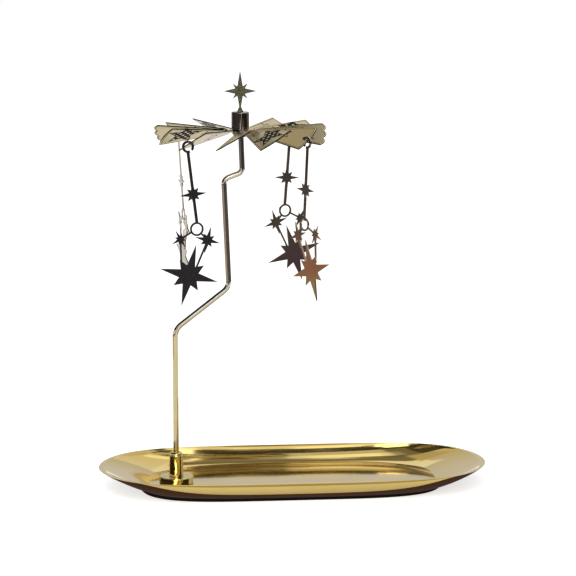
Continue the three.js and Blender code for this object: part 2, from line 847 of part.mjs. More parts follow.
for (let k = 0; k < blade_count / kinds_of_blade; k += 1) {
  const azimuth = radians(hookAzimuth(k));
  const shape = starPendant(pendant_rests[k]);
  const pendant = add(`star_pendant_${k + 1}`, shape, nickel_silver);
  pendant.rotation.z = pendantHeading(k);
  pendant.position.set(
    axis_x + pendant_radius * Math.cos(azimuth),
    pendant_radius * Math.sin(azimuth),
    hookHeight(k),
  );
}

export default carousel;
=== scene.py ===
import json

import bpy
import numpy as np
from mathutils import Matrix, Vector

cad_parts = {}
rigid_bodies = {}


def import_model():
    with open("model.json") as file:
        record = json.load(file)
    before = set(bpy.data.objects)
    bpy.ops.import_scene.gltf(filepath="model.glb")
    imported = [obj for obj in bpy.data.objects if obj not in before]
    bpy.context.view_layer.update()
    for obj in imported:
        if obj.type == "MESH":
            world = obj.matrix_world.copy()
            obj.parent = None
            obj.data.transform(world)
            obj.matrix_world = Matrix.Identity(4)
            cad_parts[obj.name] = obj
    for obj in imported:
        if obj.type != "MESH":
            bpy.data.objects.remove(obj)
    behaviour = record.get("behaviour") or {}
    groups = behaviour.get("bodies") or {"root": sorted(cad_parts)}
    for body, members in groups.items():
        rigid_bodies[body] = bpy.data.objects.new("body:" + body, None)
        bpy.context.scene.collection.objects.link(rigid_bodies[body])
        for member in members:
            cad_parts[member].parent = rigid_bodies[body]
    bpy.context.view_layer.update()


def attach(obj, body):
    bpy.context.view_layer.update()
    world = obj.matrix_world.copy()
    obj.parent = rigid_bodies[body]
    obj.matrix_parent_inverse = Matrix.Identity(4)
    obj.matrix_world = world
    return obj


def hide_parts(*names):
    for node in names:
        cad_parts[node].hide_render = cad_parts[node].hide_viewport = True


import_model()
mm = 0.001

# The set
# A white table in a white sweep under two soft lamps. Polished brass only looks like brass when it
# has a dark room to mirror, so cards and screens stand round the table as that room.


def linear(colour):
    """Linear RGBA of an sRGB hex colour such as "#d8b45a"."""
    parts = np.array([int(colour[k:k + 2], 16) for k in (1, 3, 5)]) / 255
    low = parts / 12.92
    high = ((parts + 0.055) / 1.055) ** 2.4
    return (*np.where(parts <= 0.04045, low, high), 1.0)


def add_node(tree, kind, inputs=None, **settings):
    """One node with its settings.

    An input is a value, a socket to link from, or a node, which stands for its first output.
    """
    node = tree.nodes.new(kind)
    for name, value in settings.items():
        setattr(node, name, value)
    for name, value in (inputs or {}).items():
        if isinstance(value, bpy.types.Node):
            value = value.outputs[0]
        if isinstance(value, bpy.types.NodeSocket):
            tree.links.new(value, node.inputs[name])
        else:
            node.inputs[name].default_value = value
    return node


def new_material(name):
    """An empty node material and its tree."""
    material = bpy.data.materials.new(name)
    material.use_nodes = True
    material.node_tree.nodes.clear()
    return material, material.node_tree


def surface(name, points, material, loop_rows=False, loop_columns=True):
    """A smooth mesh on a grid of points, quads between neighbours.

    Rows or columns close on themselves as told. A row whose points all meet becomes a pole.
    """
    rows, columns = points.shape[:2]
    index = np.arange(rows * columns).reshape(rows, columns)
    poles = np.ptp(points, axis=1).max(axis=1) < 1e-9
    index[poles] = index[poles, :1]
    if loop_rows:
        index = np.vstack([index, index[:1]])
    if loop_columns:
        index = np.hstack([index, index[:, :1]])
    quads = np.stack([index[:-1, :-1], index[:-1, 1:], index[1:, 1:], index[1:, :-1]], -1)
    quads = quads.reshape(-1, 4)
    top_pole = quads[:, 0] == quads[:, 1]
    end_pole = quads[:, 2] == quads[:, 3]
    faces = quads[~top_pole & ~end_pole].tolist()
    faces += quads[top_pole & ~end_pole][:, [0, 2, 3]].tolist()
    faces += quads[end_pole & ~top_pole][:, [0, 1, 2]].tolist()
    used, again = np.unique(np.concatenate([np.ravel(f) for f in faces]), return_inverse=True)
    lengths = np.array([len(f) for f in faces])
    faces = [part.tolist() for part in np.split(again, np.cumsum(lengths)[:-1])]
    mesh = bpy.data.meshes.new(name)
    mesh.from_pydata((points.reshape(-1, 3)[used] * mm).tolist(), [], faces)
    mesh.polygons.foreach_set("use_smooth", np.ones(len(faces), bool))
    if material:
        mesh.materials.append(material)
    piece = bpy.data.objects.new(name, mesh)
    bpy.context.scene.collection.objects.link(piece)
    return piece


scene = bpy.context.scene
scene.view_settings.view_transform = "Standard"

# The camera was fitted to the tray's rim, the rod and the wheel in the photograph.
target = Vector((-1.97, 0, 78.6)) * mm
camera_distance = 900
azimuth, elevation = np.radians([-5.57, 9.2])
back = Vector((
    np.sin(azimuth) * np.cos(elevation),
    -np.cos(azimuth) * np.cos(elevation),
    np.sin(elevation),
))
camera = bpy.data.objects.new("camera", bpy.data.cameras.new("camera"))
camera.data.lens = 142.26
camera.location = target + back * camera_distance * mm
camera.rotation_euler = (-back).to_track_quat("-Z", "Y").to_euler()
scene.collection.objects.link(camera)
scene.camera = camera

# The sweep is white where the camera or a mirror sees it, and dimmer as light on the object.
world = bpy.data.worlds.new("white_sweep")
world.use_nodes = True
scene.world = world
tree = world.node_tree
tree.nodes.clear()
rays = add_node(tree, "ShaderNodeLightPath").outputs
seen = add_node(tree, "ShaderNodeMath", {0: rays["Is Camera Ray"], 1: rays["Is Glossy Ray"]},
                operation="MAXIMUM")
seen = add_node(tree, "ShaderNodeMath", {0: seen, 1: rays["Is Transmission Ray"]},
                operation="MAXIMUM")
strength = add_node(tree, "ShaderNodeMapRange", {"Value": seen, "To Min": 0.7, "To Max": 1.0})
sky = add_node(tree, "ShaderNodeBackground", {"Color": linear("#ffffff"), "Strength": strength})
add_node(tree, "ShaderNodeOutputWorld", {"Surface": sky})

# The table: matt white board, kept white for the camera, and still darker under the object. It
# lies a hair below the object's foot, so that no two faces share a plane.
table_radius = 3000
table_gap = 0.05
board, tree = new_material("matt_white_board")
rays = add_node(tree, "ShaderNodeLightPath").outputs
seen = add_node(tree, "ShaderNodeMath", {0: rays["Is Camera Ray"], 1: rays["Is Glossy Ray"]},
                operation="MAXIMUM")
for_both = add_node(tree, "ShaderNodeMath", {0: seen, 1: 0.25}, operation="MULTIPLY")
lift = add_node(tree, "ShaderNodeMath", {0: rays["Is Camera Ray"], 1: 0.42, 2: for_both},
                operation="MULTIPLY_ADD")
matt = add_node(tree, "ShaderNodeBsdfDiffuse", {"Color": linear("#e9e8e6")})
glow = add_node(tree, "ShaderNodeEmission", {"Color": linear("#ffffff"), "Strength": lift})
both = add_node(tree, "ShaderNodeAddShader", {0: matt, 1: glow})
add_node(tree, "ShaderNodeOutputMaterial", {"Surface": both})
turn = np.linspace(0, 2 * np.pi, 96, endpoint=False)
rim = np.stack([np.cos(turn), np.sin(turn), 0 * turn], -1)
table = surface("table", np.stack([0 * rim, table_radius * rim]) - [0, 0, table_gap], board)

# What the metal mirrors: cards and lit screens that only mirrors show, so they neither light nor
# shade the table.
much_brighter = 3


def card(name, colour, points, strength=1.0, loop=False, seen=False):
    """A card on a grid of points that only mirrors show, its colour the light that it gives off.

    A screen much brighter than white gives its light on one side only, and a card that is seen
    shows to the camera too.
    """
    paper, tree = new_material(name)
    glow = add_node(tree, "ShaderNodeEmission", {"Color": linear(colour), "Strength": strength})
    if strength > much_brighter:
        back_side = add_node(tree, "ShaderNodeNewGeometry").outputs["Backfacing"]
        clear = add_node(tree, "ShaderNodeBsdfTransparent", {"Color": linear("#ffffff")})
        glow = add_node(tree, "ShaderNodeMixShader", {0: back_side, 1: glow, 2: clear})
    add_node(tree, "ShaderNodeOutputMaterial", {"Surface": glow})
    piece = surface(name, points, paper, loop_columns=loop)
    piece.visible_camera = seen
    piece.visible_diffuse = False
    piece.visible_shadow = False


# Cloth and card on the floor, and two screens far out. Each is given by two azimuths in degrees,
# by how near it starts and how far it goes, and by how high its far edge stands.
lying = 2
for name, colour, start, end, near, far, top in (
    ("black_cloth_right", "#3e3e4a", -72, -55, 300, 2900, lying),
    ("plum_cloth_right", "#5f4c5a", -55, -28, 300, 560, lying),
    ("grey_cloth_right", "#5e5857", -55, -28, 560, 1240, lying),
    ("black_cloth_far", "#3d3b42", -55, -28, 1240, 2900, lying),
    ("black_screen_right", "#383543", -76, -50, 2900, 2900, 180),
    ("tall_screen_right", "#3d3b42", -50, 12, 2900, 2900, 1000),
    ("grey_cloth_front", "#625e60", -125, -72, 430, 900, lying),
    ("black_cloth_front", "#443f47", -125, -72, 900, 2900, lying),
    ("pale_cloth_left", "#aeaaa2", -165, -125, 380, 850, lying),
    ("grey_cloth_left", "#7c7975", -165, -125, 850, 1240, lying),
    ("black_cloth_left", "#463f45", 138, 235, 1240, 2900, lying),
    ("straw_card_left", "#c6a97c", 138, 195, 300, 570, lying),
    ("copper_card_left", "#b3826a", 138, 195, 570, 750, lying),
    ("umber_card_left", "#7d6c66", 138, 195, 750, 900, lying),
    ("slate_card_left", "#5f5f61", 138, 195, 900, 1240, lying),
    ("brown_cloth_right", "#5e5049", -28, 60, 450, 1240, lying),
    ("tan_cloth_right", "#8f7f78", -28, 60, 1240, 2900, lying),
):
    swing = np.radians(np.linspace(start, end, 37))[None, :]
    reach = np.array([[near], [far]])
    card(name, colour, np.stack([reach * np.cos(swing), reach * np.sin(swing),
                                 np.array([[lying], [top]]) + 0 * swing], -1))

# A dome of screens. One is given by how far it climbs from the front over the top to the back, and
# by how far it swings out to the right, all in degrees. A strength over 1 is brighter than white.
dome_radius = 1250
dome_centre = [0, 0, 37.5]
for name, colour, strength, low, high, left, right in (
    ("front_softbox", "#ffffff", 2.6, 8, 38, -16, 2),
    ("front_softbox_top", "#ffffff", 2.4, 38, 50, -15, -1),
    ("front_pale", "#f8f4ec", 1.0, 8, 23, 2, 9.5),
    ("front_dark", "#403c35", 1.0, 38, 62, -1, 9.5),
    ("front_dark_low", "#4f4a42", 1.0, 23, 38, 2, 9.5),
    ("front_dark_left", "#4f4a42", 1.0, 50, 62, -15, -1),
    ("overhead_dark", "#38352e", 1.0, 62, 98, 3, 6.7),
    ("overhead_grey", "#8b8579", 1.0, 98, 116, 3, 6.7),
    ("overhead_softbox", "#ffffff", 2.0, 74, 106, 6.7, 12),
    ("overhead_dim", "#7c766c", 1.0, 62, 116, -3, 3),
    ("rear_dark", "#857f74", 1.0, 116, 132, -3, 9.5),
    ("right_softbox", "#ffffff", 2.2, 12, 74, 9.5, 18),
    ("right_pale", "#f1eee8", 1.0, 74, 150, 12, 31),
    ("right_dark", "#67625c", 1.0, 34, 74, 18, 31),
    ("side_grey_right", "#e1ded8", 1.0, 20, 150, 31, 80),
    ("left_dark_low", "#3a3732", 1.0, 30, 62, -50, -15),
    ("left_dim", "#857f74", 1.0, 62, 112, -11, -3),
    ("left_dark", "#4f4b44", 1.0, 62, 112, -30, -11),
    ("left_dark_side", "#47433e", 1.0, 62, 112, -50, -30),
    ("left_straw", "#c8bfa9", 1.0, 112, 136, -16, -3),
    ("left_straw_pale", "#dcd3bd", 1.0, 112, 136, -50, -16),
    ("side_grey_left", "#d6d3cc", 1.0, 20, 150, -80, -50),
    ("rear_grey_left", "#d3d0c9", 1.0, 136, 150, -50, -5),
    ("rear_grey_low", "#d3d1cc", 1.0, 150, 176, -60, 60),
):
    climb = np.radians(np.linspace(low, high, 25))[:, None]
    side = np.radians(np.linspace(left, right, 13))[None, :]
    card(name, colour, dome_centre + dome_radius * np.stack([
        np.sin(side) + 0 * climb, -np.cos(side) * np.cos(climb),
        np.cos(side) * np.sin(climb)], -1), strength)

# Nearer cards, each from one corner to the other: a soft box hung low over the right of the tray
# with dimmer edges, a small bright one by the post, a lit strip in front, and a dark screen on
# each side. A level card fills the rectangle between its corners, and a standing one rises from
# the line between them.
for name, colour, strength, first, last in (
    ("low_softbox", "#ffffff", 1.3, (41, -4, 300), (120, 100, 300)),
    ("low_softbox_edge", "#ffffff", 1.0, (29, -4, 300), (41, 100, 300)),
    ("low_softbox_rim", "#ffffff", 0.4, (12, -4, 300), (29, 100, 300)),
    ("low_softbox_front", "#ffffff", 0.7, (30, -130, 300), (120, -4, 300)),
    ("post_softbox", "#ffffff", 14.0, (-56, -80, 60), (-38, -29, 60)),
    ("front_strip", "#ffffff", 1.5, (72, -600, 95), (130, -600, 330)),
    ("dark_screen_left", "#322f2b", 1.0, (-400, -500, 150), (-400, 620, 850)),
    ("dark_screen_right", "#322f2b", 1.0, (330, -700, 60), (800, 0, 420)),
):
    (left, front, bottom), (right, rear, upper) = first, last
    second, third = (left, right) if upper == bottom else (right, left)
    card(name, colour, np.array([
        [(left, front, bottom), (second, rear, bottom)],
        [(third, front, upper), (right, rear, upper)]], float), strength)

# Two soft lamps, in metres and watts, with the point that each one faces. Mirrors don't show them.
for name, size, power, place, aim in (
    ("top_light", (0.75, 0.5), 1.9, (-0.4, -0.1, 1.1), (-0.4, -0.1, 0)),
    ("left_light", (0.25, 0.9), 0.9, (-1.0, -0.35, 0.55), (0, 0, 0.08)),
):
    lamp = bpy.data.lights.new(name, "AREA")
    lamp.shape = "RECTANGLE"
    lamp.size, lamp.size_y = size
    lamp.energy = power
    light = bpy.data.objects.new(name, lamp)
    light.location = place
    light.rotation_euler = (Vector(aim) - light.location).to_track_quat("-Z", "Y").to_euler()
    light.visible_glossy = False
    scene.collection.objects.link(light)

# The tray
# An oval dish pressed from one brass sheet, buffed bright and lacquered. Its long sides rise in a
# quarter round and its ends in a long gentle slope. A dimple under the post hides the screw.
tray_sheet = 0.8
tray_length, tray_width, tray_height = 155, 67, 7.5
floor_length, floor_width = 115, 48
floor_powers, rim_powers = (5, 3.6), (5, 1.9)
side_curve, end_curve = 2, 1.02
post_x = -46.7
screw_hole = 1.37
dimple_rise, dimple_flat, dimple_slope, dimple_edge = 1.7, 3.1, 1.2, 5.2


def finish_metal(tree, tint, rough, relief, strength, depth, lacquer=None):
    """The last nodes of a metal: tinted mirror, roughness, and a relief with its depth in mm."""
    bump = add_node(tree, "ShaderNodeBump", {
        "Height": relief, "Strength": strength, "Distance": depth * mm})
    shader = add_node(tree, "ShaderNodeBsdfPrincipled", {
        "Base Color": tint.outputs["Result"], "Metallic": 1.0, "Roughness": rough,
        "Normal": bump, **(lacquer or {})})
    add_node(tree, "ShaderNodeOutputMaterial", {"Surface": shader})


def buffed_brass(pale, deep, roughness):
    """Lacquered brass: a smooth tinted mirror with faint buffing lines and handling haze."""
    material, tree = new_material("buffed_lacquered_brass")
    place = add_node(tree, "ShaderNodeTexCoord").outputs["Object"]
    # Buffing lines run along the tray. Real ones are finer; 0.5 mm is the finest that shows.
    stretch = add_node(tree, "ShaderNodeMapping", {"Vector": place, "Scale": (0.04, 1, 1)})
    lines = add_node(tree, "ShaderNodeTexNoise", {
        "Vector": stretch, "Scale": 1 / (0.5 * mm), "Detail": 3.0, "Roughness": 0.6})
    haze = add_node(tree, "ShaderNodeTexNoise", {
        "Vector": place, "Scale": 1 / (14 * mm), "Detail": 4.0})
    mixed = add_node(tree, "ShaderNodeMath", {0: lines, 1: haze}, operation="MULTIPLY")
    rough = add_node(tree, "ShaderNodeMapRange", {
        "Value": mixed, "From Min": 0.1, "From Max": 0.45,
        "To Min": roughness * 0.75, "To Max": roughness * 1.35})
    tint = add_node(tree, "ShaderNodeMix", {
        "Factor": haze, "A": linear(pale), "B": linear(deep)}, data_type="RGBA")
    finish_metal(tree, tint, rough, lines, 0.12, 0.004,
                 {"Coat Weight": 0.8, "Coat Roughness": 0.06})
    return material


def oval(angle, length, width, end_power, side_power):
    """Superellipse outline: x = a cos^(2/p), y = b sin^(2/q), signs kept."""
    along, across = np.cos(angle), np.sin(angle)
    return np.stack([
        length / 2 * np.sign(along) * np.abs(along) ** (2 / end_power),
        width / 2 * np.sign(across) * np.abs(across) ** (2 / side_power),
    ], -1)


def tray_sides(inside):
    """One face of the tray, from the screw hole out to the rim.

    Rings grow from the screw's hole, over the dimple that eases down round it, in straight lines
    to the floor's oval. From there they climb along a quarter superellipse, whose power goes from
    2 (quarter round, at the sides) to about 1 (straight slope, at the ends). The inner face is the
    outer one moved one sheet along the wall's normal, which is taken a little inside the wall's
    two ends, where its formula holds.
    """
    # Columns crowd towards the oval's axes, where a superellipse would spread them out.
    even = np.linspace(0, 2 * np.pi, 600, endpoint=False)
    angle = np.arctan2(np.sign(np.sin(even)) * np.sin(even) ** 2,
                       np.sign(np.cos(even)) * np.cos(even) ** 2)
    foot = oval(angle, floor_length, floor_width, *floor_powers)
    rim = oval(angle, tray_length, tray_width, *rim_powers)
    post = np.array([post_x, 0.0])
    ray = foot - post
    reach = np.linalg.norm(ray, axis=1)
    heading = ray / reach[:, None]
    radii = np.linspace(screw_hole, dimple_edge, 15)
    fall = np.clip((radii - dimple_flat) / dimple_slope, 0, 1)
    fall = fall * fall * (3 - 2 * fall)
    dimple = post + heading[None] * radii[:, None, None]
    dimple_z = np.broadcast_to((dimple_rise * (1 - fall))[:, None], dimple.shape[:2])
    share = np.linspace(0, 1, 13)[1:]
    floor = post + heading[None] * (dimple_edge + share[:, None]
                                    * (reach - dimple_edge)[None])[..., None]
    lift = tray_sheet if inside else 0
    level = np.concatenate([dimple_z, np.zeros(floor.shape[:2])]) + lift
    flat = np.concatenate([
        np.concatenate([dimple, floor]), level[..., None]], axis=-1)
    power = side_curve + (end_curve - side_curve) * np.abs(np.cos(angle))
    swing = np.linspace(0, np.pi / 2, 49)[1:, None]
    out = np.sin(swing) ** (2 / power)
    up = 1 - np.clip(np.cos(swing), 0, 1) ** (2 / power)
    wall = foot[None] + (rim - foot)[None] * out[..., None]
    end_margin = 0.15
    steady = np.clip(swing, end_margin, np.pi / 2 - end_margin)
    width = np.linalg.norm(rim - foot, axis=1)
    run = width * np.sin(steady) ** (2 / power - 1) * np.cos(steady)
    rise = tray_height * np.cos(steady) ** (2 / power - 1) * np.sin(steady)
    inward = (foot - rim) / width[:, None]
    wall = wall + inward[None] * (lift * rise / np.hypot(run, rise))[..., None]
    height = np.minimum(tray_height, tray_height * up + lift * run / np.hypot(run, rise))
    return np.concatenate([flat, np.concatenate([wall, height[..., None]], -1)])


# Painted shade: dark cards on the table stand in for the deep shade under the overhanging sides,
# once for mirrors and once for the camera, where its edge on the table is as sharp as in the
# photograph.
turn = np.linspace(0, 2 * np.pi, 240, endpoint=False)
for name, colour, outer, level, seen in (
    ("mirrored_shade", "#4a3b3c", oval(turn, 190, 61.8, 8, 6), 0.06, False),
    ("shade_line", "#15120f", oval(turn, 120, 60.6, 4.6, 2.8) - [1.2, 0], 0.04, True),
):
    edge = np.column_stack([outer, np.full(len(turn), level)])
    card(name, colour, np.stack([edge * [0, 0, 1], edge]), loop=True, seen=seen)
# Mats on the table round the tray, which the outer faces of its sides mirror.
mat_starts, mat_ends, mat_level = 9, 45, 0.02
for name, colour, start, end in (
    ("beige_mat", "#bfb596", -150, -30),
    ("dark_mat_right", "#4c4840", -30, 60),
    ("dark_mat_left", "#4c4840", 120, 210),
):
    swing = np.radians(np.linspace(start, end, 121))
    card(name, colour, np.stack([
        np.column_stack([oval(swing, tray_length + 2 * out, tray_width + 2 * out, 4, 1.9),
                         0 * swing + mat_level]) for out in (mat_starts, mat_ends)]))

tray_brass = buffed_brass("#dfc579", "#d6bb6b", 0.09)
tray = surface("pressed_tray", np.concatenate([tray_sides(True), tray_sides(False)[::-1]]),
               tray_brass, loop_rows=True)
bevel = tray.modifiers.new("soft_edges", "BEVEL")
bevel.width, bevel.segments, bevel.limit_method = 0.12 * mm, 2, "ANGLE"
bevel.angle_limit = np.radians(40)
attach(tray, "stand")
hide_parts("tray")

# The post's turned foot
# A screw from below draws a turned socket and its flange down on the tray. Both are brass turned
# on a lathe, so the light runs in rings round them.


def rounded(corners, cut):
    """A lathe profile with each corner between its ends cut back and replaced by a short arc.

    The arc is a quadratic curve from one cut point to the other, drawn towards the corner. A cut
    takes at most a set share of the shorter line beside it.
    """
    most_share = 0.4
    corners = np.array(corners, float)
    before, here, after = corners[:-2], corners[1:-1], corners[2:]
    to_before = np.linalg.norm(before - here, axis=1)[:, None]
    to_after = np.linalg.norm(after - here, axis=1)[:, None]
    cuts = np.minimum(cut, most_share * np.minimum(to_before, to_after))
    first = here + cuts * (before - here) / to_before
    last = here + cuts * (after - here) / to_after
    t = np.linspace(0, 1, 6)[None, :, None]
    arcs = ((1 - t) ** 2 * first[:, None] + 2 * t * (1 - t) * here[:, None]
            + t ** 2 * last[:, None]).reshape(-1, 2)
    return np.vstack([corners[:1], arcs, corners[-1:]])


def turned(name, corners, centre_x, material, cut=0.12, hollow=False):
    """A lathe piece: each (radius, height) of the rounded profile spun about the vertical.

    The profile runs down its outside, and a hollow piece's closes on itself.
    """
    corners = [*corners, *corners[:2]] if hollow else corners
    profile = rounded(corners, cut)
    profile = profile[1:-1] if hollow else profile
    spin = np.linspace(0, 2 * np.pi, 128, endpoint=False)[None, :]
    radius, height = profile.T[:, :, None]
    points = np.stack(np.broadcast_arrays(
        centre_x + radius * np.cos(spin), radius * np.sin(spin), height), -1)
    piece = surface(name, points[::-1], material, loop_rows=hollow)
    weigh = piece.modifiers.new("even_shading", "WEIGHTED_NORMAL")
    weigh.keep_sharp = True
    return piece


def turned_metal(name, pale, deep, roughness, centre_x):
    """Metal off the lathe: fine rings round the axis catch the light as short streaks."""
    material, tree = new_material(name)
    place = add_node(tree, "ShaderNodeTexCoord").outputs["Object"]
    centred = add_node(tree, "ShaderNodeMapping", {
        "Vector": place, "Location": (-centre_x * mm, 0, 0)})
    axes = add_node(tree, "ShaderNodeSeparateXYZ", {0: centred}).outputs
    level = add_node(tree, "ShaderNodeCombineXYZ", {"X": axes["X"], "Y": axes["Y"]})
    radius = add_node(tree, "ShaderNodeVectorMath", {0: level}, operation="LENGTH")
    ring = add_node(tree, "ShaderNodeCombineXYZ", {"X": radius.outputs["Value"], "Z": axes["Z"]})
    # Real tool marks are about 0.05 mm apart; 0.12 mm is the finest that still shows.
    lines = add_node(tree, "ShaderNodeTexNoise", {
        "Vector": ring, "Scale": 1 / (0.12 * mm), "Detail": 2.0})
    haze = add_node(tree, "ShaderNodeTexNoise", {
        "Vector": place, "Scale": 1 / (3 * mm), "Detail": 4.0})
    rough = add_node(tree, "ShaderNodeMapRange", {
        "Value": haze, "To Min": roughness * 0.7, "To Max": roughness * 1.4})
    tint = add_node(tree, "ShaderNodeMix", {
        "Factor": haze, "A": linear(pale), "B": linear(deep)}, data_type="RGBA")
    finish_metal(tree, tint, rough, lines, 0.2, 0.004)
    return material


post_brass = turned_metal("turned_brass", "#dcc988", "#d0bb76", 0.08, post_x)

flange = turned("post_flange", [
    (2.22, 3.6), (6.55, 3.6), (6.8, 3.35), (6.8, 0.9), (4.8, 0.9), (4.8, 2.7), (2.22, 2.7),
], post_x, post_brass, hollow=True)
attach(flange, "stand")
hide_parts("base_flange")

socket = turned("rod_holder", [
    (1.37, 7.6), (1.22, 7.6), (1.22, 13.2), (2.0, 13.2), (2.5, 12.75), (2.57, 12.35), (2.45, 12.2),
    (2.45, 12.05), (2.6, 11.9), (2.85, 3.7), (2.1, 3.7), (2.1, 2.6), (1.37, 2.6),
], post_x, post_brass, cut=0.1, hollow=True)
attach(socket, "stand")
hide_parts("rod_socket")

# Zinc plated steel: a dull blue-grey that blurs what it mirrors.
steel = turned_metal("turned_zinc_plated_steel", "#a9a9ab", "#8f9093", 0.3, post_x)
screw = turned("foot_screw", [
    (0, 7.6), (0.95, 7.6), (1.25, 7.3), (1.25, 1.6), (2.5, 1.6), (2.5, 0.6), (2.2, 0.3),
    (1.3, 0.3), (1.15, 0.9), (0, 0.9),
], post_x, steel)
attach(screw, "stand")
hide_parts("tray_screw")

# The rod
# One brass wire bent cold round pins at four knees, with its top end ground to the point that
# carries the wheel. Drawn wire has long straight streaks.
axis_x = -20.7
rod_radius = 1.1
rod_corners = [(post_x, 7.7), (post_x, 62.8), (-25.4, 79.3), (-27.2, 122.1), (-19.95, 124.8),
               (axis_x, 146.3)]
knee_radii = [6, 5, 2.8, 2.4]
# The rings at each end: how far one lies from that end, and the wire's radius there.
foot_rings = np.array([(0, 0), (0, 0.95), (0.15, rod_radius), (0.3, rod_radius)])
point_rings = np.array([
    (2.9, rod_radius), (2.75, rod_radius), (2.6, 0.935), (1.7, 0.8), (0.8, 0.55), (0.25, 0.27),
    (0.08, 0.12), (0, 0.05), (0, 0)])


def bent_wire(corners, radii, steps=24):
    """The centre line of a bent wire: straight runs joined by arcs.

    At each knee the arc starts r tan(bend / 2) before the corner and turns towards the next run.
    A point just outside each end of the arc keeps the straight runs' shading straight.
    """
    beside = 0.2
    corners = np.array(corners, float)
    ways = np.diff(corners, axis=0)
    ways /= np.linalg.norm(ways, axis=1)[:, None]
    lines = [corners[:1]]
    for corner, before, after, radius in zip(corners[1:-1], ways[:-1], ways[1:], radii):
        bend = np.arccos(before @ after)
        side = after - before * (before @ after)
        side /= np.linalg.norm(side)
        swing = np.linspace(0, bend, steps)[:, None]
        start = corner - before * radius * np.tan(bend / 2)
        arc = (start + before * radius * np.sin(swing)
               + side * radius * (1 - np.cos(swing)))
        lines.append(np.vstack([arc[:1] - before * beside, arc, arc[-1:] + after * beside]))
    return np.vstack([*lines, corners[-1:]])


wire = bent_wire(rod_corners, knee_radii)
tip_way = (wire[-1] - wire[-2]) / np.linalg.norm(wire[-1] - wire[-2])
girth = np.concatenate([foot_rings[:, 1], np.full(len(wire) - 2, rod_radius), point_rings[:, 1]])
wire = np.vstack([wire[0] + foot_rings[:, :1] * [0, 1], wire[1:-1],
                  wire[-1] - point_rings[:, :1] * tip_way])
way = np.gradient(wire, axis=0)
way[0], way[-1] = (0, 1), tip_way
way /= np.linalg.norm(way, axis=1)[:, None]
# The wire's surface: a circle of the girth, square to the centre line, carried along it.
spin = np.linspace(0, 2 * np.pi, 64, endpoint=False)[None, :]
rod_points = np.stack([
    wire[:, :1] + girth[:, None] * np.sin(spin) * way[:, 1:],
    girth[:, None] * -np.cos(spin),
    wire[:, 1:] - girth[:, None] * np.sin(spin) * way[:, :1],
], -1)

# Drawn pale brass: a bright mirror, drawn out into thin upright streaks.
drawn, tree = new_material("drawn_pale_brass")
place = add_node(tree, "ShaderNodeTexCoord").outputs["Object"]
stretch = add_node(tree, "ShaderNodeMapping", {"Vector": place, "Scale": (1, 1, 0.03)})
# Drawing lines are a few hundredths of a millimetre wide; 0.25 mm is the finest that shows.
lines = add_node(tree, "ShaderNodeTexNoise", {
    "Vector": stretch, "Scale": 1 / (0.25 * mm), "Detail": 3.0})
haze = add_node(tree, "ShaderNodeTexNoise", {"Vector": place, "Scale": 1 / (6 * mm)})
upper_tone = add_node(tree, "ShaderNodeMix", {
    "Factor": haze, "A": linear("#dcd8cc"), "B": linear("#cbc7ba")}, data_type="RGBA")
lower_tone = add_node(tree, "ShaderNodeMix", {
    "Factor": haze, "A": linear("#d9cda0"), "B": linear("#c9b98a")}, data_type="RGBA")
# The lower run, up to about 56 mm and fading out by 70 mm, is tinted warmer and yellower than the
# rest.
height = add_node(tree, "ShaderNodeSeparateXYZ", {0: place}).outputs["Z"]
low = add_node(tree, "ShaderNodeMapRange", {
    "Value": height, "From Min": 0.056, "From Max": 0.07, "To Min": 1.0, "To Max": 0.0})
tint = add_node(tree, "ShaderNodeMix", {
    "Factor": low, "A": upper_tone.outputs["Result"], "B": lower_tone.outputs["Result"]}, data_type="RGBA")
rough = add_node(tree, "ShaderNodeMapRange", {
    "Value": lines, "To Min": 0.03, "To Max": 0.1})
finish_metal(tree, tint, rough, lines, 0.15, 0.01)

rod = surface("bent_rod", rod_points, drawn)
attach(rod, "stand")
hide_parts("rod")

# The hub
# A nickelled cap turned from bar, bored from below, with a steel cup pressed in its bore to run on
# the rod's point, and a collar that clamps the wheel from underneath.

# Bright nickel: a warm grey mirror, darker than the brass.
nickel = turned_metal("turned_bright_nickel", "#a39a92", "#8c827c", 0.08, axis_x)

cap = turned("hub_top", [
    (0, 148.52), (3.15, 148.52), (3.5, 148.17), (3.5, 141.57), (3.15, 141.22), (2.1, 141.22),
    (2.1, 138.62), (1.6, 138.62), (1.6, 147.32), (0, 147.32),
], axis_x, nickel)
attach(cap, "wheel")
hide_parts("hub_cap")

# Hardened steel: a plain grey with a soft shine.
cup_steel = turned_metal("hardened_steel_cup", "#9b9c9f", "#85868a", 0.2, axis_x)
cup = turned("point_cup", [
    (0, 147.22), (1.48, 147.22), (1.48, 145.52), (0.9, 145.52), (0, 146.42),
], axis_x, cup_steel, cut=0.05)
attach(cup, "wheel")
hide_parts("pivot_cup")

collar = turned("wheel_clamp", [
    (2.22, 140.62), (3.32, 140.62), (3.32, 140.12), (2.47, 138.92), (2.22, 138.92),
], axis_x, nickel, cut=0.08, hollow=True)
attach(collar, "wheel")
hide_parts("wheel_collar")

# The star wheel
# One etched sheet of pale brass: a ring with twelve blades, each twisted flat to pitched at its
# narrow neck. Fine lines along the edges and stars on the blades were etched through a mask.
wheel_z, wheel_sheet = 140.92, 0.4
blades, blade_columns = 12, 49
ring_bore, ring_radius, root_radius, tip_radius = 2.22, 5.2, 6.6, 32.6
neck_half, root_half, tip_half = 0.8, 1.45, 7.35
tip_round, scallop = 1.0, 1.1
pitch, first_blade = np.radians([29.5, -9.38])
pattern_step = 40


